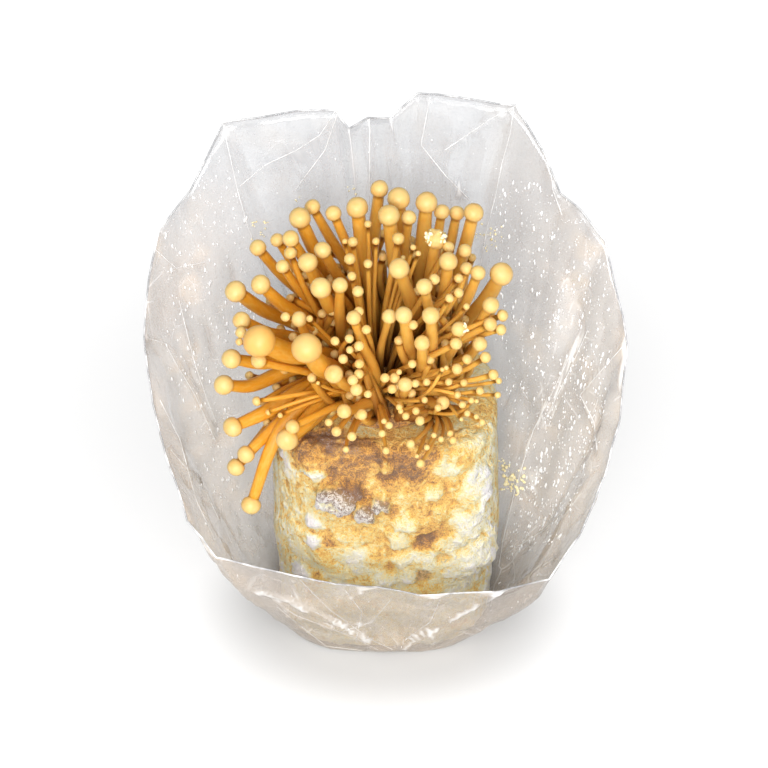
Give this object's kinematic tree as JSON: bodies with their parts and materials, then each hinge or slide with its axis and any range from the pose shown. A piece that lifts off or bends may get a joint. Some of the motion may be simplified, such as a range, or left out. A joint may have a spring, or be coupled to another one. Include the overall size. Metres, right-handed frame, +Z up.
{
  "type": "enoki mushroom grow kit",
  "caption": "Clear gusseted film bag standing open, with a colonised sawdust block in it and a fanned clump of golden ball-capped mushrooms on top.",
  "frame": {"origin": "on the bag's flat underside, at the middle of its floor", "axes": "+Z up, -Y towards the bag's low front lip, +X to the right seen from the front"},
  "size_m": [0.2574, 0.1629, 0.2982],
  "materials": {
    "film": "clear film, slightly hazy, with folds and condensation",
    "substrate": "lumpy mycelium, white, yellow and orange, matt",
    "clump_foot": "matt brown flesh",
    "flesh": "satin flesh, pale yellow caps and amber stems"
  },
  "bodies": {
    "root": {"grow_bag": "film", "substrate_block": "substrate", "clump_base": "clump_foot", "mushroom_01": "flesh", "mushroom_02": "flesh", "mushroom_03": "flesh", "mushroom_04": "flesh", "mushroom_05": "flesh", "mushroom_06": "flesh", "mushroom_07": "flesh", "mushroom_08": "flesh", "mushroom_09": "flesh", "mushroom_10": "flesh", "mushroom_11": "flesh", "mushroom_12": "flesh", "mushroom_13": "flesh", "mushroom_14": "flesh", "mushroom_15": "flesh", "mushroom_16": "flesh", "mushroom_17": "flesh", "mushroom_18": "flesh", "mushroom_19": "flesh", "mushroom_20": "flesh", "mushroom_21": "flesh", "mushroom_22": "flesh", "mushroom_23": "flesh", "mushroom_24": "flesh", "mushroom_25": "flesh", "mushroom_26": "flesh", "mushroom_27": "flesh", "mushroom_28": "flesh", "mushroom_29": "flesh", "mushroom_30": "flesh", "mushroom_31": "flesh", "mushroom_32": "flesh", "mushroom_33": "flesh", "mushroom_34": "flesh", "mushroom_35": "flesh", "mushroom_36": "flesh", "mushroom_37": "flesh", "mushroom_38": "flesh", "mushroom_39": "flesh", "mushroom_40": "flesh", "mushroom_41": "flesh", "mushroom_42": "flesh", "mushroom_43": "flesh", "mushroom_44": "flesh", "mushroom_45": "flesh", "mushroom_46": "flesh", "mushroom_47": "flesh", "mushroom_48": "flesh", "mushroom_49": "flesh", "mushroom_50": "flesh", "mushroom_51": "flesh"}
  },
  "joints": []
}
